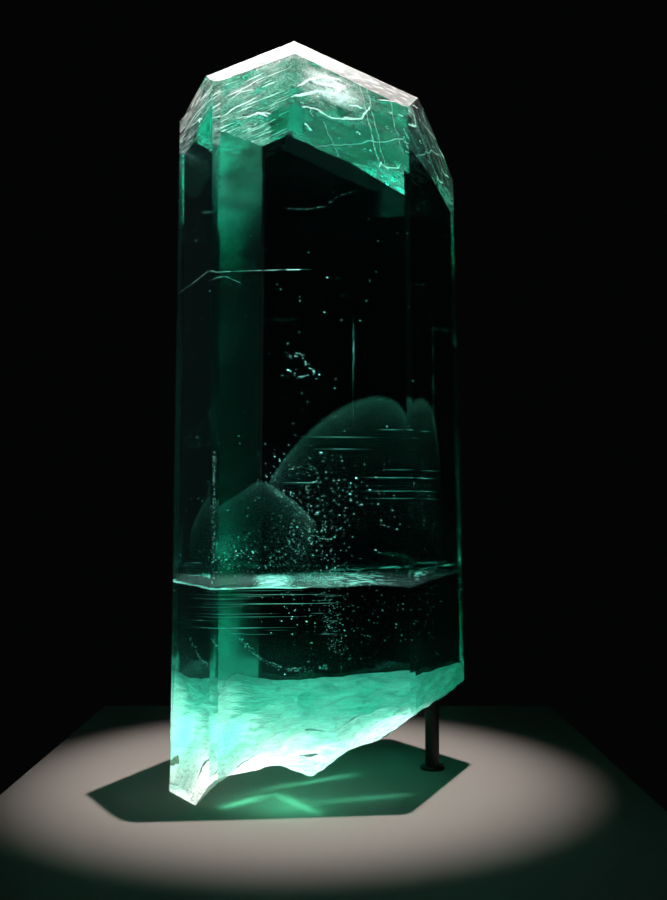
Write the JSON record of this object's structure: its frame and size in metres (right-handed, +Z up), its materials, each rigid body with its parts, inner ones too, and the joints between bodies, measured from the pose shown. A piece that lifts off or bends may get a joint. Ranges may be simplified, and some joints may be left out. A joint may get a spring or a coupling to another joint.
{
  "type": "aquamarine crystal",
  "caption": "Tall six-sided transparent blue-green crystal with a low etched roof-like top and a slanting broken base, standing on its own foot and a slim support peg.",
  "frame": {"origin": "middle of the footprint of the whole part, on the surface it stands on", "axes": "+Z up along the crystal's length, -Y out of the wide front face, +X towards the peg"},
  "size_m": [0.13, 0.0982, 0.3126],
  "materials": {
    "aquamarine": "natural clear blue-green beryl, glassy faces, etched top, frosted broken base",
    "dark_steel": "dark oxidised turned steel rod, satin"
  },
  "bodies": {
    "root": {"aquamarine_crystal": "aquamarine", "support_peg": "dark_steel"}
  },
  "joints": []
}
